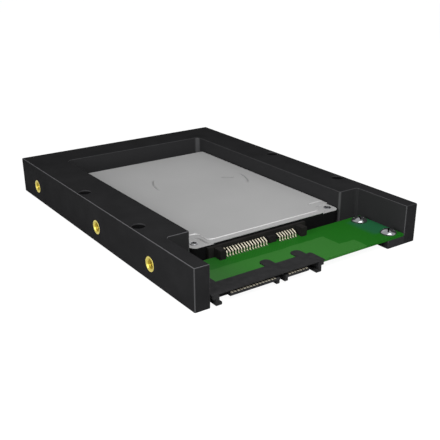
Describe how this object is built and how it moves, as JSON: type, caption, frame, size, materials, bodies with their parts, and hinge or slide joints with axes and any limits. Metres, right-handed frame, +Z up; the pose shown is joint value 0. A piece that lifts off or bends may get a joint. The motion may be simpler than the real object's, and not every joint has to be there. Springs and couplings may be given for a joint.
{
  "type": "drive bay adapter bracket",
  "caption": "Black plastic adapter frame with brass side inserts and an edge connector board, carrying a small drive for a larger drive bay.",
  "frame": {"origin": "centre of the footprint, on the lower face", "axes": "+Z up, +Y away from the connector end, +X to the right seen from the connector end"},
  "size_m": [0.1016, 0.1476, 0.0155],
  "materials": {
    "frame_plastic": "fine moulded texture",
    "connector_plastic": "smooth moulded",
    "board_green": "solder resist",
    "contact_gold": "pale plated",
    "insert_brass": "turned",
    "screw_steel": "bright plated",
    "drive_cover_metal": "satin",
    "drive_casting": "black coated"
  },
  "bodies": {
    "root": {"bracket_frame": "frame_plastic", "insert_left_front": "insert_brass", "insert_left_middle": "insert_brass", "insert_left_rear": "insert_brass", "insert_right_front": "insert_brass", "insert_right_middle": "insert_brass", "insert_right_rear": "insert_brass", "circuit_board": "board_green", "board_screws": "screw_steel", "host_plug": "connector_plastic", "host_plug_power_contacts": "contact_gold", "host_plug_signal_contacts": "contact_gold", "receptacle": "connector_plastic", "receptacle_power_contacts": "contact_gold", "receptacle_signal_contacts": "contact_gold", "drive_base": "drive_casting", "drive_cover": "drive_cover_metal", "drive_circuit_board": "board_green", "drive_plug": "connector_plastic", "drive_plug_contacts": "contact_gold", "drive_mounting_screws": "screw_steel"}
  },
  "joints": []
}
